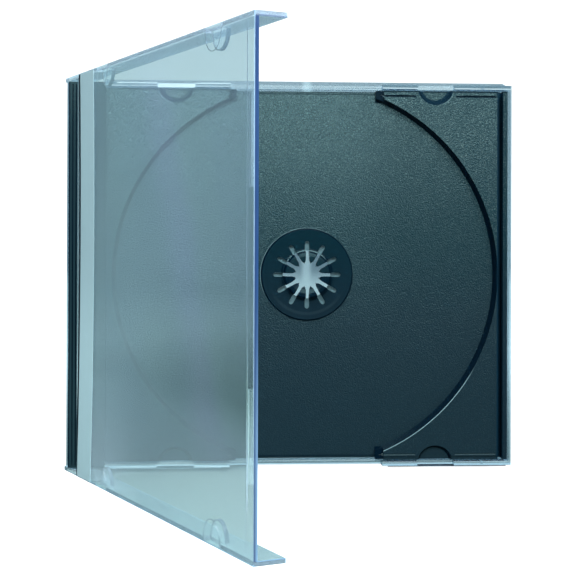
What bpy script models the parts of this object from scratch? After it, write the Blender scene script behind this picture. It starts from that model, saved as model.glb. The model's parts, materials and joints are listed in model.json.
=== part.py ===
"""Disc case of the standard 142 x 125 x 10 mm kind, standing on its long edge with its lid swung part way open.

Case coordinates, in millimetres: u runs from the hinge edge (0) to the opening edge (142), v runs up the
case (0 to 125) and w runs from the back face (0) to the front face of the closed lid (10). In the model u is +X,
v is +Z and w is -Y. The origin is at the middle of the footprint of the open case, on the surface it stands on.
"""

import math

import bmesh
import bpy
from mathutils import Matrix, Vector

MM = 0.001

# Overall
CASE_L = 142.0  # u, hinge edge to opening edge
CASE_H = 125.0  # v
CASE_T = 10.0  # w, closed
WALL = 1.2  # moulded wall of the clear halves
MID_V = CASE_H / 2

# Hinge
PIVOT_U = 5.4
PIVOT_W = 5.1
LID_OPEN_DEG = 66.6
PIN_R = 1.3
PIN_HOLE_R = 1.6

# Base shell
BASE_W = 8.5  # height of its rims above the back face
EDGE_WALL = 0.75  # its wall at the opening edge
RIM_V = 1.5  # outer face of the rims, inside the lid's walls
RIM_IN = 2.8  # inner face of the rims
EAR_W = 7.2  # rims and spine wall at the hinge, under the tray's ribbed strip
FLANGE_FREE_U = 13.4  # the back plate is notched up to here to clear the lid's arms
MID_RIM_U = 24.0  # half the length over which the rims are low in the middle, where the disc comes near them
MID_RIM_W = 4.2
MID_WALL_V = 2.3
MID_LEDGE_W = 3.7
EDGE_CHAMFER = (1.4, 0.85)  # of the upper corner at the opening edge, along u and along v

# Disc tray
DISC_U = 76.4
DISC_R = 61.4
DISC_R_FLOOR = 60.5
TRAY_U0 = 1.5
TRAY_U1 = 140.95
TRAY_V0 = 3.2
TRAY_W0 = 1.5
STRIP_U0 = 0.6
STRIP_U1 = 13.0
STRIP_W = 8.6
STRIP_UNDER = 7.5
PLATEAU_W = 7.4
FLOOR_W = 3.5
SKIN = 1.2
GROOVE = (138.0, 139.5)
GROOVE_W = 3.0
LEDGE = 1.1
TIP = (22.1, 24.5)  # where the recess wall's tips step down, as offsets from the disc's centre
TIP_W = 5.3
STEP_DOWN = 0.3  # the floor's edge lies this much lower
STEP_V = 4.1
MID_EDGE_V = 3.45  # and ends here, a little inside the tray's other edges
EDGE_LINES = ((101.2, 111.0), (124.2, 137.0))  # fine grooves beside the half-moons at the opening edge, along u
EDGE_LINE_V = (4.75, 5.15)
RIB_PITCH = 1.06
RIB_GROOVE = 0.38
RIBS = 11

# Half-moon places where the lid's tabs meet the tray, as offsets from the disc's centre
MOON_OFF = 41.2
MOON_CENTRE_V = 1.96
MOON_R_FLOOR = 4.95
MOON_R_TOP = 5.8
MOON_W = 5.5

# Hub
HUB_RING_R = 14.75
HUB_HOLE_R = 11.6
FINGERS = 12
SLOT_END_R = 10.9

# Lid
LID_U0 = 13.2
LID_EDGE_W = 1.8
ARM_CUT = 3.0
TAB_R = 4.7
TAB_W = (6.2, 7.2)
STEP_U = 137.2
RIDGE_U = (138.3, 139.3)
RIDGE_V = ((18.0, 39.5), (85.4, 107.0))

# Label strip on the lid's outer face, stuck on a little bowed: u of its middle line at three heights
LABEL_WIDTH = 13.0
LABEL_V = (0.3, 124.7)
LABEL_BOW = ((7.5, 20.7), (61.2, 22.95), (116.0, 22.4))
LABEL_W = (10.2, 10.4)

THETA = math.radians(LID_OPEN_DEG)


def lid_to_case(u, w):
    """Case (u, w) of a point of the lid, from its closed place, once the lid is open."""
    du, dw = u - PIVOT_U, w - PIVOT_W
    return (
        PIVOT_U + du * math.cos(THETA) - dw * math.sin(THETA),
        PIVOT_W + du * math.sin(THETA) + dw * math.cos(THETA),
    )


LID_CORNERS = [
    lid_to_case(u, w)
    for u, w in (
        (0.0, CASE_T - 0.6),
        (0.6, CASE_T),
        (CASE_L, CASE_T),
        (CASE_L, LID_EDGE_W),
        (0.0, LID_EDGE_W + ARM_CUT),
        (ARM_CUT, LID_EDGE_W),
        (20.0, LABEL_W[1]),
    )
]
U_LOW = min([0.0] + [c[0] for c in LID_CORNERS])
U_HIGH = CASE_L
W_LOW = min([0.0] + [c[1] for c in LID_CORNERS])
W_HIGH = max(c[1] for c in LID_CORNERS)
ORIGIN_U = (U_LOW + U_HIGH) / 2
ORIGIN_W = (W_LOW + W_HIGH) / 2

for old in list(bpy.data.objects):
    bpy.data.objects.remove(old, do_unlink=True)

scene = bpy.context.scene
parts = bpy.data.collections.new("disc_case")
cutters = bpy.data.collections.new("disc_case_cutters")
scene.collection.children.link(parts)
scene.collection.children.link(cutters)


def empty(name, location, rotation):
    obj = bpy.data.objects.new(name, None)
    obj.empty_display_size = 0.01
    obj.location = location
    obj.rotation_euler = rotation
    parts.objects.link(obj)
    return obj


# Case coordinates in metres, seen from these two empties. The second turns with the lid and lies on the hinge axis.
case_frame = empty("case_frame", (-ORIGIN_U * MM, ORIGIN_W * MM, 0.0), (math.pi / 2, 0.0, 0.0))
lid_hinge = empty(
    "lid_hinge_axis",
    ((PIVOT_U - ORIGIN_U) * MM, (ORIGIN_W - PIVOT_W) * MM, 0.0),
    (math.pi / 2, 0.0, -THETA),
)


class Shape:
    """Gathers closed bodies, in case millimetres, into one mesh."""

    def __init__(self):
        self.bm = bmesh.new()

    def box(self, u, v, w):
        size = Vector((u[1] - u[0], v[1] - v[0], w[1] - w[0])) * MM
        middle = Vector((u[0] + u[1], v[0] + v[1], w[0] + w[1])) * (MM / 2)
        bmesh.ops.create_cube(
            self.bm,
            size=1.0,
            matrix=Matrix.Translation(middle) @ Matrix.Diagonal((*size, 1.0)),
        )
        return self

    def round_w(self, u, v, w, r0, r1=None, segments=64):
        """A cylinder, or a cone from r0 at w[0] to r1 at w[1], standing along w."""
        before = set(self.bm.verts)
        bmesh.ops.create_cone(
            self.bm,
            cap_ends=True,
            segments=segments,
            radius1=r0 * MM,
            radius2=(r0 if r1 is None else r1) * MM,
            depth=(w[1] - w[0]) * MM,
            matrix=Matrix.Translation(Vector((u, v, (w[0] + w[1]) / 2)) * MM),
        )
        self.smooth_new(before)
        return self

    def round_v(self, u, w, v, r, segments=40):
        """A cylinder along v."""
        before = set(self.bm.verts)
        turn = Matrix.Rotation(-math.pi / 2, 4, "X")
        bmesh.ops.create_cone(
            self.bm,
            cap_ends=True,
            segments=segments,
            radius1=r * MM,
            radius2=r * MM,
            depth=(v[1] - v[0]) * MM,
            matrix=Matrix.Translation(Vector((u, (v[0] + v[1]) / 2, w)) * MM) @ turn,
        )
        self.smooth_new(before)
        return self

    def smooth_new(self, before):
        for vert in set(self.bm.verts) - before:
            for face in vert.link_faces:
                face.smooth = len(face.verts) == 4

    def outline(self, points, w):
        """A flat outline in the u, v plane, from w[0] to w[1]."""
        curve = bpy.data.curves.new("outline", "CURVE")
        curve.dimensions = "2D"
        curve.fill_mode = "BOTH"
        curve.extrude = (w[1] - w[0]) * MM / 2
        spline = curve.splines.new("POLY")
        spline.points.add(len(points) - 1)
        for point, (u, v) in zip(spline.points, points):
            point.co = (u * MM, v * MM, 0.0, 1.0)
        spline.use_cyclic_u = True
        holder = bpy.data.objects.new("outline", curve)
        cutters.objects.link(holder)
        holder.location = (0.0, 0.0, (w[0] + w[1]) * MM / 2)
        bpy.context.view_layer.update()
        graph = bpy.context.evaluated_depsgraph_get()
        mesh = bpy.data.meshes.new_from_object(holder.evaluated_get(graph))
        mesh.transform(holder.matrix_world)
        part = bmesh.new()
        part.from_mesh(mesh)
        bmesh.ops.remove_doubles(part, verts=part.verts, dist=1e-6)
        bmesh.ops.recalc_face_normals(part, faces=part.faces)
        part.to_mesh(mesh)
        part.free()
        self.bm.from_mesh(mesh)
        bpy.data.meshes.remove(mesh)
        bpy.data.objects.remove(holder, do_unlink=True)
        bpy.data.curves.remove(curve)
        return self

    def both_edges(self, add, *args):
        """The same body near v = 0 and, mirrored, near v = 125."""
        add(*args)
        before = set(self.bm.verts)
        add(*args)
        fresh = [vert for vert in self.bm.verts if vert not in before]
        faces = list({face for vert in fresh for face in vert.link_faces})
        for vert in fresh:
            vert.co.y = CASE_H * MM - vert.co.y
        bmesh.ops.reverse_faces(self.bm, faces=faces)
        return self

    def make(self, name, parent, collection):
        mesh = bpy.data.meshes.new(name)
        self.bm.to_mesh(mesh)
        self.bm.free()
        obj = bpy.data.objects.new(name, mesh)
        collection.objects.link(obj)
        obj.parent = parent
        if parent is lid_hinge:
            obj.location = (-PIVOT_U * MM, 0.0, -PIVOT_W * MM)
        if collection is cutters:
            obj.hide_render = True
            obj.display_type = "WIRE"
        return obj


def cut(target, shape, name, operation="DIFFERENCE"):
    tool = shape if isinstance(shape, bpy.types.Object) else shape.make(name, target.parent, cutters)
    modifier = target.modifiers.new(name, "BOOLEAN")
    modifier.operation = operation
    modifier.solver = "EXACT"
    modifier.object = tool
    return tool


def half_moon(centre_u, radius, root_v, centre_v, steps=28):
    """A half round outline that bulges up from root_v, for a tab or its print in the panel."""
    points = [(centre_u - radius, root_v)]
    for i in range(steps + 1):
        a = math.pi - math.pi * i / steps
        points.append((centre_u + radius * math.cos(a), centre_v + radius * math.sin(a)))
    points.append((centre_u + radius, root_v))
    return points


def plastic(name, colour, roughness, transmission=0.0, alpha=1.0):
    material = bpy.data.materials.new(name)
    material.use_nodes = True
    shader = material.node_tree.nodes["Principled BSDF"]
    shader.inputs["Base Color"].default_value = (*colour, 1.0)
    shader.inputs["Metallic"].default_value = 0.0
    shader.inputs["Roughness"].default_value = roughness
    shader.inputs["Transmission Weight"].default_value = transmission
    shader.inputs["Alpha"].default_value = alpha
    shader.inputs["IOR"].default_value = 1.59
    return material


OVER = 1.0  # how far a cutter passes the face that it opens
MOONS = (DISC_U - MOON_OFF, DISC_U + MOON_OFF)

# ---------------------------------------------------------------- base shell
base = Shape().box((0, CASE_L), (0, CASE_H), (0, BASE_W)).make("base_shell", case_frame, parts)
base.data.materials.append(plastic("clear_base", (0.80, 0.93, 0.95), 0.03, 1.0))

flange = Shape()
flange.both_edges(flange.box, (-OVER, CASE_L + OVER), (-OVER, RIM_V), (WALL, BASE_W + OVER))
cut(base, flange, "flange_cut")

cut(
    base,
    Shape().box((WALL, CASE_L - EDGE_WALL), (RIM_IN, CASE_H - RIM_IN), (WALL, BASE_W + OVER)),
    "inside_cut",
)

corner = Shape()
corner.both_edges(corner.box, (-OVER, FLANGE_FREE_U), (-OVER, RIM_V), (-OVER, WALL + 0.5))
cut(base, corner, "arm_clearance_cut")

# The lower flange has a shallow notch in the middle
slant = RIM_V + OVER
notch = Shape()
notch.outline(
    [
        (DISC_U - 25.0 - 1.3 * slant, -OVER),
        (DISC_U + 25.0 + 1.3 * slant, -OVER),
        (DISC_U + 25.7, 0.9),
        (DISC_U + 24.6, RIM_V),
        (DISC_U - 24.6, RIM_V),
        (DISC_U - 25.7, 0.9),
    ],
    (-OVER, WALL + 0.5),
)
cut(base, notch, "middle_flange_cut")

corner_tip = Shape()
corner_tip.outline(
    [
        (CASE_L - EDGE_CHAMFER[0], CASE_H),
        (CASE_L, CASE_H - EDGE_CHAMFER[1]),
        (CASE_L + OVER, CASE_H - EDGE_CHAMFER[1]),
        (CASE_L + OVER, CASE_H + OVER),
        (CASE_L - EDGE_CHAMFER[0], CASE_H + OVER),
    ],
    (-OVER, WALL + 0.5),
)
cut(base, corner_tip, "corner_chamfer")

low = Shape()
low.both_edges(low.box, (DISC_U - MID_RIM_U, DISC_U + MID_RIM_U), (-OVER, RIM_IN + 0.6), (MID_RIM_W, BASE_W + OVER))
cut(base, low, "middle_rim_cut")

thin = Shape()
thin.both_edges(thin.box, (DISC_U - MID_RIM_U, DISC_U + MID_RIM_U), (MID_WALL_V, RIM_IN + 0.6), (MID_LEDGE_W, BASE_W + OVER))
cut(base, thin, "disc_edge_clearance")

ears = Shape()
ears.box((-OVER, STRIP_U1 + 0.4), (-OVER, CASE_H + OVER), (EAR_W, BASE_W + OVER))
cut(base, ears, "ear_cut")

gates = Shape()
for centre in MOONS:
    gates.both_edges(gates.box, (centre - 5.9, centre + 5.9), (-OVER, RIM_IN + 0.6), (5.4, BASE_W + OVER))
cut(base, gates, "tab_gate")

marks = Shape()
for centre in (DISC_U - 56.1, DISC_U + 56.1):
    marks.both_edges(marks.box, (centre - 0.35, centre + 0.35), (RIM_V + 0.5, RIM_IN + 0.6), (7.0, BASE_W + OVER))
cut(base, marks, "rim_slot")

holes = Shape()
holes.both_edges(holes.round_v, PIVOT_U, PIVOT_W, (0.5, RIM_IN + 0.6), PIN_HOLE_R)
cut(base, holes, "pin_hole")

# ---------------------------------------------------------------- disc tray
tray = (
    Shape()
    .box((STRIP_U0, TRAY_U1), (1.6, CASE_H - 1.6), (TRAY_W0, STRIP_W))
    .make("disc_tray", case_frame, parts)
)
tray.data.materials.append(plastic("black_tray", (0.012, 0.02, 0.024), 0.38))

side = Shape()
side.both_edges(side.box, (STRIP_U1, TRAY_U1 + OVER), (0, TRAY_V0), (0, STRIP_W + OVER))
cut(tray, side, "tray_side_cut")

under = Shape()
under.both_edges(under.box, (0, STRIP_U1 + OVER), (0, TRAY_V0), (0, STRIP_UNDER))
cut(tray, under, "strip_ear_cut")
cut(
    tray,
    Shape().box((STRIP_U0 - OVER, TRAY_U0), (0, CASE_H), (0, STRIP_UNDER)),
    "spine_wall_clearance",
)

cut(
    tray,
    Shape().box((STRIP_U1, TRAY_U1 + OVER), (0, CASE_H), (PLATEAU_W, STRIP_W + OVER)),
    "plateau_cut",
)
cut(
    tray,
    Shape().box((TRAY_U0 + SKIN, STRIP_U1 - SKIN), (TRAY_V0 + SKIN, CASE_H - TRAY_V0 - SKIN), (0, STRIP_W - SKIN)),
    "strip_hollow",
)

# Hollow under the four corners, kept off the round wall of the disc recess and off the half-moon recesses
hollow = (
    Shape()
    .box((STRIP_U1, GROOVE[0] - SKIN), (TRAY_V0 + SKIN, CASE_H - TRAY_V0 - SKIN), (0, PLATEAU_W - SKIN))
    .make("corner_hollow", case_frame, cutters)
)
keep = Shape().round_w(DISC_U, MID_V, (-OVER, STRIP_W + OVER), DISC_R + SKIN - 0.1, segments=96)
cut(hollow, keep, "recess_keep")
moon_keep = Shape()
for centre in MOONS:
    moon_keep.both_edges(moon_keep.round_w, centre, MOON_CENTRE_V, (-OVER, STRIP_W + OVER), 6.9, None, 40)
cut(hollow, moon_keep, "moon_keep")
cut(tray, hollow, "corner_hollow")

cut(
    tray,
    Shape().box((STRIP_U1 + 1.0, GROOVE[0] - SKIN), (TRAY_V0 + SKIN, CASE_H - TRAY_V0 - SKIN), (0, FLOOR_W - SKIN)),
    "floor_hollow",
)
cut(
    tray,
    Shape().round_w(
        DISC_U,
        MID_V,
        (FLOOR_W, STRIP_W + OVER),
        DISC_R_FLOOR,
        DISC_R_FLOOR + (DISC_R - DISC_R_FLOOR) * (STRIP_W + OVER - FLOOR_W) / (PLATEAU_W - FLOOR_W),
        segments=144,
    ),
    "disc_recess",
)
tips = Shape()
tips.both_edges(tips.box, (DISC_U - TIP[1], DISC_U + TIP[1]), (0, 8.0), (TIP_W, STRIP_W + OVER))
cut(tray, tips, "recess_tip_step")
ends = Shape()
ends.both_edges(ends.box, (DISC_U - TIP[0], DISC_U + TIP[0]), (0, 8.0), (FLOOR_W, STRIP_W + OVER))
cut(tray, ends, "recess_tip_end")
lip = Shape()
lip.both_edges(lip.box, (DISC_U - TIP[0], DISC_U + TIP[0]), (0, STEP_V), (FLOOR_W - STEP_DOWN, STRIP_W + OVER))
cut(tray, lip, "floor_edge_step")
trim = Shape()
trim.both_edges(trim.box, (DISC_U - TIP[0], DISC_U + TIP[0]), (0, MID_EDGE_V), (0, STRIP_W + OVER))
cut(tray, trim, "floor_edge_trim")
cut(
    tray,
    Shape().box(GROOVE, (0, CASE_H), (GROOVE_W, STRIP_W + OVER)),
    "lip_groove",
)
ledge = Shape()
ledge.both_edges(ledge.box, (STRIP_U1, GROOVE[1] - 0.4), (0, TRAY_V0 + LEDGE), (PLATEAU_W - 0.5, STRIP_W + OVER))
cut(tray, ledge, "edge_ledge")
fine = Shape()
for line_u in EDGE_LINES:
    fine.both_edges(fine.box, line_u, EDGE_LINE_V, (PLATEAU_W - 0.35, STRIP_W + OVER))
cut(tray, fine, "edge_line")

moons = Shape()
slope = (MOON_R_TOP - MOON_R_FLOOR) / (PLATEAU_W - MOON_W)
for centre in MOONS:
    moons.both_edges(
        moons.round_w,
        centre,
        MOON_CENTRE_V,
        (MOON_W, STRIP_W + OVER),
        MOON_R_FLOOR,
        MOON_R_FLOOR + slope * (STRIP_W + OVER - MOON_W),
        56,
    )
cut(tray, moons, "moon_recess")

grooves = Shape()
for i in range(RIBS):
    start = STRIP_U0 + 0.45 + RIB_PITCH * (i + 1) - RIB_GROOVE
    grooves.box((start, start + RIB_GROOVE), (2.3, CASE_H - 2.3), (STRIP_W - 0.4, STRIP_W + OVER))
grooves.box((STRIP_U0 - OVER, STRIP_U0 + 0.45), (0, CASE_H), (STRIP_W - 0.3, STRIP_W + OVER))
cut(tray, grooves, "strip_grooves")

cut(
    tray,
    Shape().round_w(DISC_U, MID_V, (0, FLOOR_W + OVER), HUB_HOLE_R, segments=72),
    "hub_hole",
)

# The hub is turned: a ring for the disc to rest on and a sprung rosette that rises through the disc's hole
HUB_PROFILE = [
    (3.7, 6.2),
    (4.6, 6.75),
    (6.0, 7.05),
    (7.1, 6.9),
    (7.55, 6.4),
    (7.45, 5.9),
    (7.2, 5.1),
    (7.6, 4.55),
    (8.4, 4.3),
    (14.45, 4.3),
    (14.75, 4.0),
    (14.75, 2.9),
    (11.6, 2.9),
    (11.1, 3.3),
    (8.7, 3.3),
    (6.9, 3.7),
    (6.2, 4.6),
    (6.35, 5.6),
    (5.7, 6.0),
    (4.6, 5.8),
    (3.7, 5.4),
]
profile = bpy.data.meshes.new("hub_profile")
line = bmesh.new()
corners = [line.verts.new((r * MM, 0.0, w * MM)) for r, w in HUB_PROFILE]
for a, b in zip(corners, corners[1:] + corners[:1]):
    line.edges.new((a, b))
line.to_mesh(profile)
line.free()
hub = bpy.data.objects.new("hub_turned", profile)
cutters.objects.link(hub)
hub.hide_render = True
hub.display_type = "WIRE"
hub.parent = case_frame
hub.location = (DISC_U * MM, MID_V * MM, 0.0)
turn = hub.modifiers.new("turn", "SCREW")
turn.axis = "Z"
turn.angle = 2 * math.pi
turn.steps = 72
turn.render_steps = 72
turn.use_merge_vertices = True
turn.merge_threshold = 0.00001
turn.use_smooth_shade = True
cut(tray, hub, "hub_join", "UNION")

slots = Shape()
for i in range(FINGERS):
    a = 2 * math.pi * i / FINGERS
    half = [
        (2.6, 0.5),
        (3.72, 0.94),
        (3.95, 0.90),
        (4.15, 0.74),
        (4.45, 0.61),
        (5.0, 0.52),
        (7.7, 0.52),
        (8.1, 0.72),
        (SLOT_END_R - 0.65, 0.72),
        (SLOT_END_R - 0.2, 0.5),
        (SLOT_END_R, 0.2),
    ]
    ring = [(r, -s) for r, s in half] + [(r, s) for r, s in reversed(half)]
    slots.outline(
        [
            (DISC_U + r * math.cos(a) - s * math.sin(a), MID_V + r * math.sin(a) + s * math.cos(a))
            for r, s in ring
        ],
        (2.0, STRIP_W),
    )
cut(tray, slots, "finger_slots")

# ---------------------------------------------------------------- lid
lid = Shape().box((0, CASE_L), (0, CASE_H), (LID_EDGE_W, CASE_T)).make("lid", lid_hinge, parts)
lid.data.materials.append(plastic("clear_lid", (0.78, 0.92, 0.95), 0.03, 1.0))

cut(
    lid,
    Shape().box((-OVER, CASE_L + OVER), (WALL, CASE_H - WALL), (0, CASE_T - WALL)),
    "lid_inside",
)
cut(
    lid,
    Shape().box((-OVER, LID_U0), (WALL, CASE_H - WALL), (0, CASE_T + OVER)),
    "hinge_gap",
)
cut(
    lid,
    Shape().box((STEP_U, CASE_L + OVER), (WALL, CASE_H - WALL), (7.0, CASE_T - WALL + 0.15)),
    "edge_step",
)

# The lower corner of each arm is cut back so that it clears the plate, and the upper corner is eased
arm = Shape()
turn_up = Matrix.Rotation(math.pi / 4, 4, "Y")
for corner_u, corner_w, reach in ((0.0, LID_EDGE_W, ARM_CUT), (0.0, CASE_T, 0.6)):
    side_mm = reach * math.sqrt(2)
    for v_mid in (0.0, CASE_H):
        bmesh.ops.create_cube(
            arm.bm,
            size=1.0,
            matrix=Matrix.Translation(Vector((corner_u, v_mid, corner_w)) * MM)
            @ turn_up
            @ Matrix.Diagonal((side_mm * MM, 4 * WALL * MM, side_mm * MM, 1.0)),
        )
cut(lid, arm, "arm_corner")

prints = Shape()
for centre in MOONS:
    prints.both_edges(prints.outline, half_moon(centre, 4.9, 1.0, 1.2), (8.3, CASE_T - WALL + 0.25))
cut(lid, prints, "tab_print")

tabs = Shape()
for centre in MOONS:
    tabs.both_edges(tabs.outline, half_moon(centre, TAB_R, 0.6, 1.2), TAB_W)
cut(lid, tabs, "booklet_tab", "UNION")

windows = Shape()
for centre in MOONS:
    windows.both_edges(windows.box, (centre - 4.6, centre + 4.6), (-OVER, WALL + 0.05), (TAB_W[1] - 0.2, 8.7))
cut(lid, windows, "tab_window")

ridges = Shape()
for low_v, high_v in RIDGE_V:
    ridges.box(RIDGE_U, (low_v, high_v), (7.8, 9.4))
cut(lid, ridges, "edge_ridge", "UNION")

studs = Shape()
studs.both_edges(studs.round_v, 44.5, 7.0, (0.6, WALL + 0.1), 0.6, 20)
cut(lid, studs, "wall_stud", "UNION")

pins = Shape()
pins.both_edges(pins.round_v, PIVOT_U, PIVOT_W, (0.6, 2.5), PIN_R)
cut(lid, pins, "hinge_pin", "UNION")

# ---------------------------------------------------------------- label strip
(v0, u0), (v1, u1), (v2, u2) = LABEL_BOW


def bow(v):
    return (
        u0 * (v - v1) * (v - v2) / ((v0 - v1) * (v0 - v2))
        + u1 * (v - v0) * (v - v2) / ((v1 - v0) * (v1 - v2))
        + u2 * (v - v0) * (v - v1) / ((v2 - v0) * (v2 - v1))
    )


heights = [LABEL_V[0] + (LABEL_V[1] - LABEL_V[0]) * i / 12 for i in range(13)]
sides = [(bow(v) - LABEL_WIDTH / 2, v) for v in heights], [(bow(v) + LABEL_WIDTH / 2, v) for v in heights]
label = (
    Shape()
    .outline(sides[1] + sides[0][::-1], LABEL_W)
    .make("lid_label_strip", lid_hinge, parts)
)
label.data.materials.append(plastic("pale_strip", (0.42, 0.62, 0.66), 0.45))

bpy.context.view_layer.update()
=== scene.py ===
"""The looks of the disc case: clear plastic halves, grained black tray, pale strip, plain floor and soft light.

Case coordinates, in millimetres: u from the hinge edge, v up, w from the back face. In the frame u is +X, v is +Z
and w is -Y. The lid's own coordinates are the same ones with the lid closed.
"""

import json
import math

import bmesh
import bpy
from mathutils import Matrix, Vector


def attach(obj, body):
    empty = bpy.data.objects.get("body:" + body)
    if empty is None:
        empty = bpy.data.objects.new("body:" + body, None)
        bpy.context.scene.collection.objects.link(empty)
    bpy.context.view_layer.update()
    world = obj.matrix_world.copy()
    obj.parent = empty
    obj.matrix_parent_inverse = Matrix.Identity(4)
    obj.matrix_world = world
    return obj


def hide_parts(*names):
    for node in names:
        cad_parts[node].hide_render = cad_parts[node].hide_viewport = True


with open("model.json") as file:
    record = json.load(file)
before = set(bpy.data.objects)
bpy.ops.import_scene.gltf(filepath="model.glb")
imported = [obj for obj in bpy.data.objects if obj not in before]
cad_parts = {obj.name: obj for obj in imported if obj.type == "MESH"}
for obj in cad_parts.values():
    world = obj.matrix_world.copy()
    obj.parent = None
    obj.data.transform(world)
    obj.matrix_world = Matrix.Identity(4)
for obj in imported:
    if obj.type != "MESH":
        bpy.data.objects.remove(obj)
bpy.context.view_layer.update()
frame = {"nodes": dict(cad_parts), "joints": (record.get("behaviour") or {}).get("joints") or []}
nodes = frame["nodes"]


MM = 0.001
joint = frame["joints"][0]
PIVOT = Vector(joint["pos_m"])
PIVOT_U, PIVOT_W = 5.4, 5.1
OPEN = math.radians(66.6)
ORIGIN_U = PIVOT_U - PIVOT.x / MM
ORIGIN_W = PIVOT_W + PIVOT.y / MM
DISC_U, DISC_V = 76.4, 62.5
MOON_OFF = 41.2  # of the half-moons from the middle of the disc's place, along u
STEP_U = 137.2  # where the lid's panel gets thinner
BOW = (7.5, 20.7), (61.2, 22.95), (116.0, 22.4)  # v and u of the pale strip's middle line


def case_point(u, v, w):
    return Vector(((u - ORIGIN_U) * MM, (ORIGIN_W - w) * MM, v * MM))


def lid_point(u, v, w):
    du, dw = u - PIVOT_U, w - PIVOT_W
    return case_point(
        PIVOT_U + du * math.cos(OPEN) - dw * math.sin(OPEN),
        v,
        PIVOT_W + du * math.sin(OPEN) + dw * math.cos(OPEN),
    )


# ---------------------------------------------------------------- node helpers
class Nodes:
    """A short way to build a material's nodes."""

    def __init__(self, name):
        self.material = bpy.data.materials.new(name)
        self.material.use_nodes = True
        self.tree = self.material.node_tree
        self.tree.nodes.clear()
        self.out = self.add("ShaderNodeOutputMaterial")

    def add(self, kind, **settings):
        node = self.tree.nodes.new(kind)
        for key, value in settings.items():
            setattr(node, key, value)
        return node

    def link(self, source, target):
        self.tree.links.new(source, target)

    def math(self, operation, a, b=None, c=None, clamp=False):
        node = self.add("ShaderNodeMath", operation=operation, use_clamp=clamp)
        for socket, value in zip(node.inputs, (a, b, c)):
            if value is None:
                continue
            if isinstance(value, (int, float)):
                socket.default_value = value
            else:
                self.link(value, socket)
        return node.outputs[0]

    def ramp(self, value, low, high, out_low=0.0, out_high=1.0, smooth=True):
        node = self.add("ShaderNodeMapRange", interpolation_type="SMOOTHSTEP" if smooth else "LINEAR")
        node.clamp = True
        self.link(value, node.inputs["Value"])
        node.inputs["From Min"].default_value = low
        node.inputs["From Max"].default_value = high
        node.inputs["To Min"].default_value = out_low
        node.inputs["To Max"].default_value = out_high
        return node.outputs["Result"]

    def band(self, value, low, high, soft):
        """1 between low and high, falling to 0 over the soft width on both sides."""
        return self.math("MULTIPLY", self.ramp(value, low - soft, low), self.ramp(value, high + soft, high))

    def both(self, *masks):
        out = masks[0]
        for mask in masks[1:]:
            out = self.math("MULTIPLY", out, mask)
        return out

    def any(self, *masks):
        out = masks[0]
        for mask in masks[1:]:
            out = self.math("MAXIMUM", out, mask)
        return out

    def veil(self, shader, factor, colour):
        """A diffuse film mixed over the shader by the factor: painted highlights where its colour is pale, painted
        shade where it is dark.
        """
        film = self.add("ShaderNodeBsdfDiffuse")
        if isinstance(colour, tuple):
            film.inputs["Color"].default_value = (*colour, 1.0)
        else:
            self.link(colour, film.inputs["Color"])
        mix = self.add("ShaderNodeMixShader")
        self.link(factor, mix.inputs[0])
        self.link(shader, mix.inputs[1])
        self.link(film.outputs[0], mix.inputs[2])
        return mix.outputs[0]

    def mix_colour(self, factor, a, b, blend="MIX"):
        node = self.add("ShaderNodeMix", data_type="RGBA", blend_type=blend)
        node.clamp_factor = True
        for socket, value in ((node.inputs["Factor"], factor), (node.inputs[6], a), (node.inputs[7], b)):
            if isinstance(value, (int, float)):
                socket.default_value = value
            elif isinstance(value, tuple):
                socket.default_value = (*value, 1.0)
            else:
                self.link(value, socket)
        return node.outputs[2]

    def case_coordinates(self):
        """u, v, w in millimetres, of the case."""
        place = self.add("ShaderNodeTexCoord")
        split = self.add("ShaderNodeSeparateXYZ")
        self.link(place.outputs["Object"], split.inputs[0])
        u = self.math("MULTIPLY_ADD", split.outputs[0], 1000.0, ORIGIN_U)
        v = self.math("MULTIPLY", split.outputs[2], 1000.0)
        w = self.math("MULTIPLY_ADD", split.outputs[1], -1000.0, ORIGIN_W)
        return place.outputs["Object"], u, v, w

    def lid_coordinates(self):
        """u, v, w in millimetres, of the lid when closed."""
        place, u, v, w = self.case_coordinates()
        du = self.math("SUBTRACT", u, PIVOT_U)
        dw = self.math("SUBTRACT", w, PIVOT_W)
        lu = self.math(
            "MULTIPLY_ADD", dw, math.sin(OPEN), self.math("MULTIPLY_ADD", du, math.cos(OPEN), PIVOT_U)
        )
        lw = self.math(
            "MULTIPLY_ADD", dw, math.cos(OPEN), self.math("MULTIPLY_ADD", du, -math.sin(OPEN), PIVOT_W)
        )
        return place, lu, v, lw

    def noise(self, vector, scale, detail=2.0, roughness=0.5):
        node = self.add("ShaderNodeTexNoise")
        node.inputs["Scale"].default_value = scale
        node.inputs["Detail"].default_value = detail
        node.inputs["Roughness"].default_value = roughness
        self.link(vector, node.inputs["Vector"])
        return node.outputs["Fac"]

    def bump(self, height, strength, distance):
        node = self.add("ShaderNodeBump")
        node.inputs["Strength"].default_value = strength
        node.inputs["Distance"].default_value = distance
        self.link(height, node.inputs["Height"])
        return node.outputs["Normal"]


def set_inputs(node, **values):
    for key, value in values.items():
        node.inputs[key.replace("_", " ")].default_value = value


def show_shader(n, shader, tint):
    """The shader, let through by shadow rays as a clear sheet lets light through."""
    path = n.add("ShaderNodeLightPath")
    clear = n.add("ShaderNodeBsdfTransparent")
    clear.inputs["Color"].default_value = (*tint, 1.0)
    mix = n.add("ShaderNodeMixShader")
    n.link(path.outputs["Is Shadow Ray"], mix.inputs[0])
    n.link(shader, mix.inputs[1])
    n.link(clear.outputs[0], mix.inputs[2])
    n.link(mix.outputs[0], n.out.inputs["Surface"])


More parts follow.
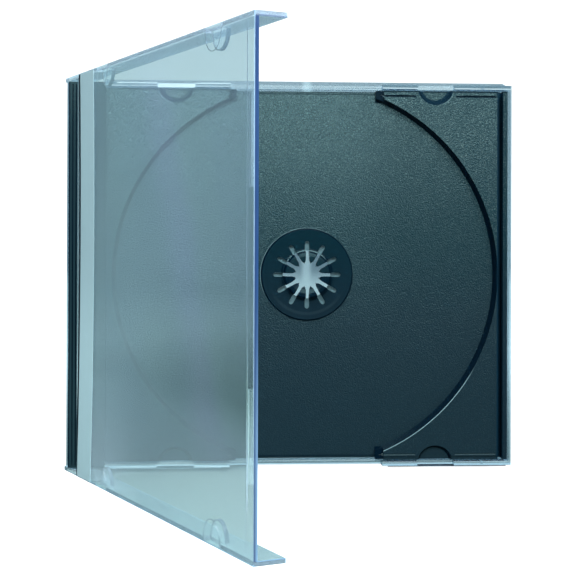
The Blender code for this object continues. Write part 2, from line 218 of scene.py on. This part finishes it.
# ---------------------------------------------------------------- materials
def clear_shader(n, tint, gloss, roughness=0.02, blur=0.01):
    """Clear plastic: tinted refraction under a tinted gloss, by the Fresnel law of polystyrene."""
    through = n.add("ShaderNodeBsdfRefraction")
    set_inputs(through, Roughness=blur, IOR=1.59)
    shine = n.add("ShaderNodeBsdfGlossy")
    set_inputs(shine, Roughness=roughness)
    law = n.add("ShaderNodeFresnel")
    law.inputs["IOR"].default_value = 1.59
    inside = n.ramp(law.outputs[0], 0.80, 0.98)  # light kept inside the wall stays nearly as it is
    n.link(n.mix_colour(inside, gloss, (0.93, 0.975, 1.0)), shine.inputs["Color"])
    if isinstance(tint, tuple):
        through.inputs["Color"].default_value = (*tint, 1.0)
    else:
        n.link(tint, through.inputs["Color"])
    mix = n.add("ShaderNodeMixShader")
    n.link(law.outputs[0], mix.inputs[0])
    n.link(through.outputs[0], mix.inputs[1])
    n.link(shine.outputs[0], mix.inputs[2])
    return mix.outputs[0]


def clear_base():
    n = Nodes("clear_base_plastic")
    place, u, v, w = n.case_coordinates()
    cloud = n.noise(place, 60.0, 2.0)
    tint = n.mix_colour(cloud, (0.87, 0.935, 1.0), (0.89, 0.95, 1.0))
    # Painted shade on the back plate, seen through the hub: darker in its upper half, lighter in a stripe down the
    # middle of the disc's place
    plate = n.math("MULTIPLY", n.ramp(w, 1.3, 1.1), n.ramp(v, 3.2, 2.8, 1.0, 0.0))
    aside = n.ramp(n.math("ABSOLUTE", n.math("SUBTRACT", u, DISC_U)), 0.3, 2.4, 0.25, 1.0)
    shade = n.mix_colour(n.both(n.ramp(v, 58.0, 65.5), aside), (0.80, 0.85, 0.875), (0.38, 0.44, 0.49))
    tint = n.mix_colour(plate, tint, shade)
    gloss = n.mix_colour(cloud, (0.74, 0.90, 1.0), (0.78, 0.92, 1.0))
    away = n.math("ABSOLUTE", n.math("SUBTRACT", v, DISC_V))  # from the middle of the case's height
    middle = n.band(u, 52.6, 100.2, 0.3)
    behind = n.band(u, 17.0, 57.0, 1.0)
    right = n.ramp(u, 103.0, 105.0)
    # Painted shade low on the base: a darker, bluer tint on the bottom wall
    skirt = n.both(n.ramp(v, 1.6, 1.3), n.ramp(u, 60.0, 75.0))
    tint = n.mix_colour(skirt, tint, (0.70, 0.77, 0.87))
    # Painted highlights in a pale film: lines along the rims' edges and faces, over the gap at the back plate, along
    # the back plate's top and on the front of the right end
    glow = n.any(
        n.math("MULTIPLY", n.both(n.ramp(w, 8.1, 8.3), n.band(away, 59.7, 60.0, 0.15)), n.ramp(v, 50.0, 75.0, 0.14, 0.26)),
        n.math("MULTIPLY", n.both(n.ramp(w, 8.1, 8.3), behind, n.band(away, 60.6, 60.9, 0.1)), n.ramp(v, 50.0, 75.0, 0.30, 0.42)),
        n.math("MULTIPLY", n.both(n.band(w, 5.3, 5.5, 0.1), behind, n.ramp(away, 59.6, 59.8)), n.ramp(v, 50.0, 75.0, 0.22, 0.50)),
        n.math("MULTIPLY", n.both(n.band(w, 5.3, 5.5, 0.1), right, n.ramp(away, 59.6, 59.8)), n.ramp(v, 50.0, 75.0, 0.06, 0.19)),
        n.math("MULTIPLY", n.both(n.band(w, 4.0, 4.4, 0.1), middle, n.band(away, 60.3, 60.8, 0.25)), n.ramp(v, 50.0, 75.0, 0.04, 0.18)),
        n.math("MULTIPLY", n.both(n.band(w, 3.5, 3.9, 0.1), middle, n.band(away, 59.7, 60.1, 0.1)), n.ramp(v, 50.0, 75.0, 0.16, 0.16)),
        n.math("MULTIPLY", n.both(n.ramp(w, 1.4, 1.25), middle, n.band(away, 59.2, 59.8, 0.15)), n.ramp(v, 50.0, 75.0, 0.24, 0.05)),
        n.math("MULTIPLY", n.both(n.ramp(w, 1.4, 1.25), n.ramp(v, 123.5, 123.7)), 0.060),
        n.math("MULTIPLY", n.both(n.ramp(w, 8.1, 8.3), n.ramp(u, 141.3, 141.9)), 0.15),
    )
    shader = n.veil(clear_shader(n, tint, gloss), glow, (0.76, 0.94, 1.0))
    # Painted shade on the bottom wall: a dark film at half strength, lighter blue-grey at the gate
    under = n.both(n.ramp(v, 1.45, 1.35), n.ramp(u, 60.0, 75.0))
    gate = n.band(u, 111.0, 124.0, 0.4)
    shader = n.veil(shader, n.math("MULTIPLY", under, 0.5), n.mix_colour(gate, (0.002, 0.008, 0.028), (0.110, 0.150, 0.205)))
    # A faint painted blue sheen just above the bottom wall, on the right
    inner = n.both(n.ramp(v, 2.9, 2.8), n.ramp(v, 1.45, 1.5), n.ramp(w, 5.0, 5.3), n.ramp(u, 101.0, 103.0))
    shader = n.veil(shader, n.math("MULTIPLY", inner, 0.03), (0.50, 0.66, 0.90))
    show_shader(n, shader, (0.93, 0.975, 0.985))
    return n.material


def clear_lid():
    n = Nodes("clear_lid_plastic")
    place, u, v, w = n.lid_coordinates()
    cloud = n.noise(place, 22.0, 1.0)
    height = n.ramp(v, 5.0, 115.0)
    tint = n.mix_colour(height, (0.97, 0.985, 0.97), (0.98, 0.99, 0.99))
    # A painted dark line along the top edge of the panel's outer face, in a darker tint
    corner = n.both(n.ramp(w, 9.93, 9.98), n.band(v, 123.75, 124.5, 0.1), n.ramp(u, 141.0, 140.5))
    tint = n.mix_colour(corner, tint, (0.70, 0.74, 0.78))
    gloss = n.mix_colour(cloud, (0.72, 0.86, 1.0), (0.80, 0.97, 0.98))
    # Painted sheen on the panel: bluer along a slanting band, greener beside it, paler low down
    slant = n.math("ADD", n.math("MULTIPLY_ADD", v, 0.40, u), n.math("MULTIPLY_ADD", n.noise(place, 30.0, 2.0), 16.0, -135.4))
    blue = n.both(n.ramp(n.math("ABSOLUTE", slant), 19.0, 1.0), n.band(v, 32.0, 108.0, 20.0))
    green = n.both(n.band(slant, 13.0, 22.0, 8.0), n.band(v, 40.0, 100.0, 20.0))
    low = n.ramp(v, 48.0, 4.0)
    left = n.ramp(u, 75.0, 35.0)
    upper_wall = n.ramp(v, 123.75, 123.85)
    walls = n.any(n.ramp(v, 1.25, 1.15), upper_wall)
    colour = n.mix_colour(blue, (0.60, 0.86, 1.0), (0.60, 0.66, 1.0))
    colour = n.mix_colour(green, colour, (0.60, 0.90, 0.82))
    colour = n.mix_colour(n.math("MULTIPLY", n.both(n.ramp(u, 46.0, 78.0), n.ramp(v, 46.0, 60.0)), 0.55), colour, (0.50, 0.62, 1.0))
    colour = n.mix_colour(n.any(low, walls), colour, (0.74, 0.86, 1.0))
    level = n.math("MULTIPLY_ADD", blue, 0.017, 0.031)
    level = n.math("MULTIPLY_ADD", green, 0.003, level)
    level = n.math("MULTIPLY_ADD", low, 0.028, level)
    level = n.math("MULTIPLY_ADD", n.band(v, 38.0, 50.0, 7.0), -0.008, level)
    level = n.math("MULTIPLY_ADD", n.band(v, 8.0, 30.0, 6.0), 0.010, level)
    level = n.math("MULTIPLY_ADD", n.both(low, left, n.ramp(v, 1.15, 1.25)), 0.064, level)
    level = n.math("MULTIPLY_ADD", n.both(n.ramp(u, 70.0, 105.0), n.band(v, 34.0, 60.0, 9.0)), -0.014, level)
    level = n.math("MULTIPLY_ADD", walls, -0.020, level)
    level = n.math("MULTIPLY_ADD", upper_wall, 0.085, level)
    # Painted highlights: light lines along the ridge and along the panel's step, stronger low down, and a blue one on
    # the free edge's outer corner; then a painted dark-blue line along the bottom edge of the outer face
    ridge = n.both(
        n.band(u, 139.15, 139.35, 0.08),
        n.band(w, 7.7, 8.75, 0.1),
        n.any(n.band(v, 18.0, 39.5, 0.3), n.band(v, 85.4, 107.0, 0.3)),
    )
    level = n.math("MULTIPLY_ADD", ridge, 0.06, level)
    step = n.both(n.band(u, STEP_U + 0.45, STEP_U + 0.95, 0.12), n.ramp(w, 9.05, 8.98), n.ramp(v, 10.0, 15.0))
    level = n.math("MULTIPLY_ADD", step, n.ramp(v, 60.0, 18.0, 0.03, 0.42), level)
    rim = n.both(n.ramp(w, 9.75, 9.9), n.ramp(u, 141.3, 141.85))
    level = n.math("MULTIPLY_ADD", rim, n.ramp(v, 20.0, 45.0, 0.13, 0.34), level)
    colour = n.mix_colour(rim, colour, (0.46, 0.70, 1.0))
    outline = n.both(n.ramp(v, 0.45, 0.35), n.ramp(w, 9.3, 9.6))
    colour = n.mix_colour(outline, colour, (0.30, 0.45, 0.62))
    level = n.math("MULTIPLY_ADD", outline, 0.35, level)
    body = n.veil(clear_shader(n, tint, gloss, blur=0.022), level, colour)
    # Painted dark lines along the rounded edges of the tabs and of their prints in the panel
    side = n.math("SUBTRACT", n.math("ABSOLUTE", n.math("SUBTRACT", u, DISC_U)), MOON_OFF)
    rise = n.math("SUBTRACT", 61.3, n.math("ABSOLUTE", n.math("SUBTRACT", v, DISC_V)))
    round_tab = n.math("SQRT", n.math("ADD", n.math("MULTIPLY", side, side), n.math("MULTIPLY", rise, rise)))
    tab_edge = n.math("MULTIPLY", n.both(n.band(round_tab, 4.40, 4.80, 0.08), n.band(w, 6.1, 7.3, 0.1)), 0.50)
    print_edge = n.math("MULTIPLY", n.both(n.band(round_tab, 4.78, 5.05, 0.08), n.band(w, 8.7, 9.1, 0.05)), 0.35)
    body = n.veil(body, n.any(tab_edge, print_edge), (0.035, 0.065, 0.085))
    # The free edge's end face, painted an opaque blue for the glow of light carried along the clear panel: lighter low
    # down, darker towards the outer face
    edge = n.add("ShaderNodeBsdfPrincipled")
    across = n.ramp(w, 8.8, 10.0)
    deep = n.mix_colour(n.ramp(v, 70.0, 5.0), (0.010, 0.042, 0.14), (0.170, 0.305, 0.48))
    n.link(n.mix_colour(across, deep, (0.014, 0.035, 0.10)), edge.inputs["Base Color"])
    set_inputs(edge, Roughness=0.2, IOR=1.5)
    both = n.add("ShaderNodeMixShader")
    inner = n.math("MULTIPLY", n.ramp(v, 0.6, 1.4), n.ramp(v, 124.4, 123.6))
    core = n.both(n.ramp(u, 141.93, 141.97), inner, n.ramp(w, 9.97, 9.87))
    n.link(n.math("MULTIPLY", core, 0.92), both.inputs[0])
    n.link(body, both.inputs[1])
    n.link(edge.outputs[0], both.inputs[2])
    show_shader(n, both.outputs[0], (0.90, 0.965, 0.98))
    return n.material


def black_tray():
    n = Nodes("black_tray_plastic")
    place, u, v, w = n.case_coordinates()
    body = n.add("ShaderNodeBsdfPrincipled")
    set_inputs(body, IOR=1.5)
    body.inputs["Specular Tint"].default_value = (0.54, 0.97, 1.0, 1.0)
    body.inputs["Specular IOR Level"].default_value = 0.33
    du = n.math("SUBTRACT", u, DISC_U)
    dv = n.math("SUBTRACT", v, DISC_V)
    radius = n.math("SQRT", n.math("ADD", n.math("MULTIPLY", du, du), n.math("MULTIPLY", dv, dv)))
    ring = n.ramp(radius, 14.70, 14.85)  # 0 on the hub ring, 1 on the grained faces
    strip = n.ramp(u, 13.2, 13.1, 1.0, 0.0)
    grained = n.math("MULTIPLY", ring, strip)
    grain = n.noise(place, 2700.0, 1.0, 0.6)
    relief = n.math("MULTIPLY", grained, n.ramp(v, 15.0, 115.0, 0.65, 1.75, smooth=False))
    n.link(n.bump(n.math("MULTIPLY", grain, relief), 1.0, 0.00013), body.inputs["Normal"])
    n.link(n.ramp(grained, 0.0, 1.0, 0.17, 0.27, smooth=False), body.inputs["Roughness"])
    # Painted shade, in colour and shine: walls that turn away from the front, the rib grooves, the lip groove's edge,
    # the top brink, the ledge and floor lines, the half-moons, the recess tips and the hub's rosette and ring line
    # stay dark
    facing = n.add("ShaderNodeNewGeometry")
    parts = n.add("ShaderNodeSeparateXYZ")
    n.link(facing.outputs["True Normal"], parts.inputs[0])
    turned = n.ramp(n.math("ABSOLUTE", parts.outputs[1]), 0.92, 0.70)
    turned = n.math("MULTIPLY", turned, n.math("MAXIMUM", n.ramp(parts.outputs[2], 0.75, 0.98, 1.0, 0.3), n.ramp(v, 60.0, 64.0)))
    ribbed = n.both(n.ramp(u, 13.1, 13.0), n.ramp(w, 8.56, 8.50))
    lip = n.band(u, 137.6, 139.5, 0.08)
    away = n.math("ABSOLUTE", n.math("SUBTRACT", v, DISC_V))
    corner = n.any(n.band(u, 101.2, 111.0, 0.3), n.band(u, 124.2, 137.0, 0.3))
    ledge_line = n.math("MULTIPLY", n.both(corner, n.band(v, 119.72, 120.28, 0.10)), 1.0)
    floor_line = n.math("MULTIPLY", n.both(n.band(u, 54.6, 98.2, 0.2), n.band(away, 58.15, 58.45, 0.12)), 0.65)
    tip = n.both(n.band(n.math("ABSOLUTE", du), 22.1, 24.5, 0.1), n.ramp(away, 55.4, 55.6), n.ramp(w, 6.6, 6.4))
    lower = n.ramp(v, 63.5, 60.5)
    rosette = n.math("MULTIPLY", n.both(n.ramp(radius, 8.6, 8.4), lower), 0.8)
    rosette = n.any(rosette, n.both(n.ramp(v, 61.0, 65.0), n.any(n.band(radius, 7.2, 7.6, 0.05), n.band(radius, 7.95, 8.4, 0.1))))
    ring_line = n.math("MULTIPLY", n.band(radius, 14.55, 14.85, 0.08), 0.9)
    brink = n.math("MULTIPLY", n.both(n.ramp(u, 15.0, 17.0), n.ramp(v, 121.2, 121.35)), 0.75)
    side = n.math("SUBTRACT", n.math("ABSOLUTE", du), MOON_OFF)
    rise = n.math("SUBTRACT", v, 123.04)
    moon = n.math("SQRT", n.math("ADD", n.math("MULTIPLY", side, side), n.math("MULTIPLY", rise, rise)))
    moon_dark = n.both(n.band(moon, 4.25, 5.8, 0.12), n.ramp(v, 117.0, 117.1))
    moon_light = n.both(n.band(moon, 5.9, 6.1, 0.08), n.ramp(side, 1.0, 3.0))
    dark = n.any(turned, ribbed, lip, brink, moon_dark, ledge_line, floor_line, tip, rosette, ring_line)
    level = n.ramp(strip, 0.0, 1.0, 0.55, 0.37, smooth=False)
    # Painted sheen: the shine is stronger high up and a little low down, weaker on the right above the middle, as
    # light falls on the tray
    painted_sheen = n.math("ADD", n.ramp(v, 72.0, 122.0, 0.69, 1.20), n.ramp(v, 50.0, 20.0, 0.0, 0.12))
    painted_sheen = n.math("ADD", n.math("MULTIPLY", painted_sheen, strip), n.ramp(strip, 0.0, 1.0, 0.72, 0.0, smooth=False))
    painted_sheen = n.math("MULTIPLY", painted_sheen, n.math("MULTIPLY_ADD", n.both(n.ramp(u, 82.0, 112.0), n.ramp(v, 40.0, 72.0)), -0.29, 1.0))
    level = n.math("MULTIPLY", level, painted_sheen)
    # Grain flecks in the shine, made stronger towards the top along with the painted sheen
    fleck = n.math("SUBTRACT", n.noise(place, 2500.0, 2.0, 0.7), 0.48)
    fleck = n.math("MULTIPLY", n.math("MULTIPLY", fleck, grained), n.ramp(v, 30.0, 115.0, 0.5, 2.4, smooth=False))
    level = n.math("MULTIPLY", level, n.math("ADD", fleck, 1.0))
    # Painted shade: less shine on the land beside the lip groove
    level = n.math("MULTIPLY", level, n.math("MULTIPLY_ADD", n.band(u, 139.5, 141.3, 0.05), -0.58, 1.0))
    n.link(n.math("MULTIPLY", level, n.math("MULTIPLY_ADD", dark, -0.88, 1.0)), body.inputs["Specular IOR Level"])
    plain = n.mix_colour(grain, (0.0010, 0.0085, 0.0135), (0.0016, 0.0125, 0.0200))
    plain = n.mix_colour(n.ramp(v, 78.0, 45.0), plain, n.mix_colour(grain, (0.0033, 0.0086, 0.0142), (0.0040, 0.0122, 0.0202)))
    plain = n.mix_colour(n.ramp(u, 13.2, 13.1), plain, (0.0070, 0.0185, 0.0250))
    # Light caught by the grain, by the recess's low rim, the ledge lines and the hub ring's edge
    caught = n.ramp(n.noise(place, 2300.0, 2.0, 0.7), 0.52, 0.70)
    caught = n.math("MULTIPLY", n.both(caught, grained), n.ramp(v, 55.0, 108.0, 0.10, 1.0, smooth=False))
    plain = n.mix_colour(caught, plain, (0.046, 0.068, 0.071))
    rim = n.both(n.band(radius, 61.45, 61.62, 0.06), n.ramp(v, 34.0, 26.0), n.ramp(u, 95.0, 99.0), n.ramp(w, 7.2, 7.3))
    low_line = n.both(corner, n.band(v, 4.70, 4.90, 0.06))
    hub_line = n.math("MULTIPLY", n.both(n.band(radius, 14.95, 15.1, 0.06), n.ramp(n.math("SUBTRACT", dv, du), 2.0, 14.0)), 0.3)
    hub_glow = n.math("MULTIPLY", n.both(n.band(radius, 12.3, 12.7, 0.5), n.ramp(dv, -4.0, -11.0)), 0.03)
    plain = n.mix_colour(n.any(rim, n.math("MULTIPLY", moon_light, 0.20), n.math("MULTIPLY", low_line, 0.24), hub_line, hub_glow), plain, (0.15, 0.235, 0.26))
    plain = n.mix_colour(dark, plain, (0.0006, 0.0050, 0.0115))
    # Painted shade in the lip groove and the half-moons, in a navy dark
    n.link(n.mix_colour(n.any(lip, moon_dark), plain, (0.0022, 0.0120, 0.0230)), body.inputs["Base Color"])
    n.link(body.outputs[0], n.out.inputs["Surface"])
    return n.material


def pale_strip():
    n = Nodes("pale_strip_plastic")
    place, u, v, w = n.lid_coordinates()
    body = n.add("ShaderNodeBsdfPrincipled")
    mottle = n.noise(place, 400.0, 3.0)
    upper = n.mix_colour(mottle, (0.30, 0.42, 0.47), (0.325, 0.455, 0.505))
    lower = n.mix_colour(mottle, (0.385, 0.535, 0.585), (0.415, 0.57, 0.625))
    colour = n.mix_colour(n.ramp(v, 75.0, 35.0), upper, lower)
    (v0, u0), (v1, u1), (v2, u2) = BOW
    a = u0 / ((v0 - v1) * (v0 - v2)), u1 / ((v1 - v0) * (v1 - v2)), u2 / ((v2 - v0) * (v2 - v1))
    square = sum(a)
    slope = -(a[0] * (v1 + v2) + a[1] * (v0 + v2) + a[2] * (v0 + v1))
    start = a[0] * v1 * v2 + a[1] * v0 * v2 + a[2] * v0 * v1
    middle = n.math("MULTIPLY_ADD", v, n.math("MULTIPLY_ADD", v, square, slope), start)
    offset = n.math("SUBTRACT", u, middle)
    # A painted shadow line along the strip's hinge-side edge, dark and rough
    edge = n.ramp(offset, -6.15, -6.35)
    n.link(n.mix_colour(edge, colour, (0.004, 0.012, 0.020)), body.inputs["Base Color"])
    n.link(n.ramp(edge, 0.0, 1.0, 0.45, 0.95, smooth=False), body.inputs["Roughness"])
    body.inputs["Specular IOR Level"].default_value = 0.12
    n.link(body.outputs[0], n.out.inputs["Surface"])
    return n.material


def slot_shade_material():
    n = Nodes("slot_shade_sheet")
    place, u, v, w = n.case_coordinates()
    body = n.add("ShaderNodeBsdfPrincipled")
    # Painted shade: a dark teal, part-clear colour, seen through the hub's slots
    n.link(n.mix_colour(n.noise(place, 900.0), (0.05, 0.13, 0.16), (0.08, 0.19, 0.22)), body.inputs["Base Color"])
    set_inputs(body, Roughness=0.4, Alpha=0.72)
    n.link(body.outputs[0], n.out.inputs["Surface"])
    return n.material


def dress(node, material):
    mesh = nodes[node].data
    mesh.materials.clear()
    mesh.materials.append(material)


for name in ("base_shell", "lid"):
    ease = nodes[name].modifiers.new("eased_edges", "BEVEL")
    ease.width = 0.15 * MM
    ease.segments = 2
    ease.limit_method = "ANGLE"
    ease.angle_limit = math.radians(40)
    ease.use_clamp_overlap = True
    ease.miter_outer = "MITER_ARC"

dress("base_shell", clear_base())
dress("lid", clear_lid())
dress("disc_tray", black_tray())
dress("lid_label_strip", pale_strip())


# ---------------------------------------------------------------- added pieces
def piece(name, bm, material):
    mesh = bpy.data.meshes.new(name)
    bmesh.ops.recalc_face_normals(bm, faces=bm.faces)
    bm.to_mesh(mesh)
    bm.free()
    mesh.materials.append(material)
    obj = bpy.data.objects.new(name, mesh)
    bpy.context.scene.collection.objects.link(obj)
    return obj


def strip_tape():
    """The pale strip as the thin film that lies on the lid, in the outline of the modelled one but widened on the
    hinge side, where it carries a painted shadow line.
    """
    bm = bmesh.new()
    (v0, u0), (v1, u1), (v2, u2) = BOW
    rows = []
    for i in range(25):
        v = 0.3 + 124.4 * i / 24
        mid = (
            u0 * (v - v1) * (v - v2) / ((v0 - v1) * (v0 - v2))
            + u1 * (v - v0) * (v - v2) / ((v1 - v0) * (v1 - v2))
            + u2 * (v - v0) * (v - v1) / ((v2 - v0) * (v2 - v1))
        )
        rows.append(
            [
                bm.verts.new(lid_point(max(mid + du, 13.3), v, w))
                for du, w in ((-7.8, 10.02), (-7.8, 10.1), (6.5, 10.1), (6.5, 10.02))
            ]
        )
    for a, b in zip(rows, rows[1:]):
        for k in range(4):
            bm.faces.new((a[k], a[(k + 1) % 4], b[(k + 1) % 4], b[k]))
    bm.faces.new(rows[0])
    bm.faces.new(rows[-1][::-1])
    obj = piece("strip_tape", bm, pale_strip())
    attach(obj, "lid")
    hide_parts("lid_label_strip")
    return obj


def hub_slot_shade():
    """A thin, dark, part-clear ring behind the outer ends of the hub's slots: painted shade seen through them."""
    bm = bmesh.new()
    profile = [(7.7, 2.45), (11.4, 2.45), (11.4, 2.6), (7.7, 2.6)]
    count = 72
    rings = []
    for i in range(count):
        a = 2 * math.pi * i / count
        rings.append(
            [bm.verts.new(case_point(DISC_U + r * math.cos(a), DISC_V + r * math.sin(a), w)) for r, w in profile]
        )
    for i in range(count):
        a, b = rings[i], rings[(i + 1) % count]
        for k in range(4):
            bm.faces.new((a[k], a[(k + 1) % 4], b[(k + 1) % 4], b[k]))
    obj = piece("hub_slot_shade", bm, slot_shade_material())
    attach(obj, "base")
    return obj


strip_tape()
hub_slot_shade()


# ---------------------------------------------------------------- floor, light, camera
def sweep():
    """A floor that turns up into a backdrop."""
    bm = bmesh.new()
    profile = [(-2.0, 0.0), (1.2, 0.0)]
    for i in range(1, 13):
        a = math.pi / 2 * i / 12
        profile.append((1.2 + 0.5 * math.sin(a), 0.5 - 0.5 * math.cos(a)))
    profile.append((1.7, 3.0))
    rows = [[bm.verts.new((x, y, z)) for y, z in profile] for x in (-3.0, 3.0)]
    for i in range(len(profile) - 1):
        bm.faces.new((rows[0][i], rows[1][i], rows[1][i + 1], rows[0][i + 1])).smooth = True
    mesh = bpy.data.meshes.new("floor")
    bm.to_mesh(mesh)
    bm.free()
    obj = bpy.data.objects.new("floor", mesh)
    bpy.context.scene.collection.objects.link(obj)
    obj.location.z = -0.0002
    # The camera sees the sheet as painted white light, an emission over a pale diffuse, as the photo's background is;
    # the plastic sees it lit, in a cyan-grey painted darker in front of the case
    n = Nodes("floor_white")
    place, u, v, w = n.case_coordinates()
    near = n.mix_colour(n.ramp(w, 200.0, 420.0), (0.155, 0.215, 0.215), (0.09, 0.13, 0.14))
    lit = n.add("ShaderNodeBsdfDiffuse")
    n.link(n.mix_colour(n.ramp(w, 30.0, -500.0), near, (0.50, 0.615, 0.63)), lit.inputs["Color"])
    bright = n.add("ShaderNodeEmission")
    bright.inputs["Strength"].default_value = 0.80
    pale = n.add("ShaderNodeBsdfDiffuse")
    pale.inputs["Color"].default_value = (0.40, 0.40, 0.40, 1.0)
    seen = n.add("ShaderNodeAddShader")
    n.link(bright.outputs[0], seen.inputs[0])
    n.link(pale.outputs[0], seen.inputs[1])
    path = n.add("ShaderNodeLightPath")
    mix = n.add("ShaderNodeMixShader")
    n.link(path.outputs["Is Camera Ray"], mix.inputs[0])
    n.link(lit.outputs[0], mix.inputs[1])
    n.link(seen.outputs[0], mix.inputs[2])
    n.link(mix.outputs[0], n.out.inputs["Surface"])
    mesh.materials.append(n.material)
    return obj


sweep()


def area(name, location, target, size, power, colour=(1.0, 1.0, 1.0)):
    light = bpy.data.lights.new(name, "AREA")
    light.shape = "RECTANGLE"
    light.size, light.size_y = size
    light.energy = power
    light.color = colour
    obj = bpy.data.objects.new(name, light)
    obj.location = location
    obj.rotation_euler = (Vector(target) - Vector(location)).to_track_quat("-Z", "Y").to_euler()
    bpy.context.scene.collection.objects.link(obj)
    return obj


area("softbox_over_camera", (0.02, -0.35, 0.29), (0.03, 0.06, 0.07), (0.5, 0.19), 4.6)
area("wash", (0.0, -0.2, 2.6), (0.0, 1.2, 0.3), (3.0, 1.6), 76.0)

world = bpy.data.worlds.new("studio")
bpy.context.scene.world = world
world.use_nodes = True
tree = world.node_tree
back = tree.nodes["Background"]
way = tree.nodes.new("ShaderNodeTexCoord")
split = tree.nodes.new("ShaderNodeSeparateXYZ")
tree.links.new(way.outputs["Generated"], split.inputs[0])


def world_ramp(source, low, high, out_low, out_high):
    node = tree.nodes.new("ShaderNodeMapRange")
    node.interpolation_type = "SMOOTHSTEP"
    tree.links.new(source, node.inputs["Value"])
    for key, value in (("From Min", low), ("From Max", high), ("To Min", out_low), ("To Max", out_high)):
        node.inputs[key].default_value = value
    return node.outputs["Result"]


def world_math(operation, a, b):
    node = tree.nodes.new("ShaderNodeMath")
    node.operation = operation
    for socket, value in zip(node.inputs, (a, b)):
        if isinstance(value, float):
            socket.default_value = value
        else:
            tree.links.new(value, socket)
    return node.outputs[0]


# The room is white behind and above, and dim in front, where the camera stands
front = world_ramp(split.outputs[1], -0.15, -0.65, 0.0, 1.0)
level = world_ramp(split.outputs[2], 0.25, 0.6, 1.0, 0.0)
dim = world_math("MULTIPLY", front, level)
strength = world_math("SUBTRACT", 0.5, world_math("MULTIPLY", dim, 0.42))
tree.links.new(strength, back.inputs["Strength"])
back.inputs["Color"].default_value = (0.72, 1.0, 1.06, 1.0)
white = tree.nodes.new("ShaderNodeBackground")
white.inputs["Strength"].default_value = 1.05
path = tree.nodes.new("ShaderNodeLightPath")
mix = tree.nodes.new("ShaderNodeMixShader")
tree.links.new(path.outputs["Is Camera Ray"], mix.inputs[0])
tree.links.new(back.outputs[0], mix.inputs[1])
tree.links.new(white.outputs[0], mix.inputs[2])
tree.links.new(mix.outputs[0], tree.nodes["World Output"].inputs["Surface"])

camera = bpy.data.cameras.new("photo_camera")
camera.sensor_width = 36.0
camera.sensor_fit = "HORIZONTAL"
FOCAL = 1320.6
camera.lens = FOCAL / 576 * 36.0
camera.shift_x = (288 - 289.8) / 576
camera.shift_y = (238.4 - 288) / 576
camera.clip_start = 0.01
yaw, pitch, roll = math.radians(3.43), math.radians(0.21), math.radians(0.174)
forward = Vector((math.sin(yaw) * math.cos(pitch), math.cos(yaw) * math.cos(pitch), math.sin(pitch)))
right = Vector((math.cos(yaw), -math.sin(yaw), 0.0))
up = right.cross(forward)
right_rolled = right * math.cos(roll) + up * math.sin(roll)
up_rolled = up * math.cos(roll) - right * math.sin(roll)
place = case_point(45.4, 72.6, 428.5)
matrix = Matrix(
    (
        (right_rolled.x, up_rolled.x, -forward.x, place.x),
        (right_rolled.y, up_rolled.y, -forward.y, place.y),
        (right_rolled.z, up_rolled.z, -forward.z, place.z),
        (0.0, 0.0, 0.0, 1.0),
    )
)
camera_object = bpy.data.objects.new("photo_camera", camera)
bpy.context.scene.collection.objects.link(camera_object)
camera_object.matrix_world = matrix
bpy.context.scene.camera = camera_object

bpy.context.scene.view_settings.view_transform = "Standard"
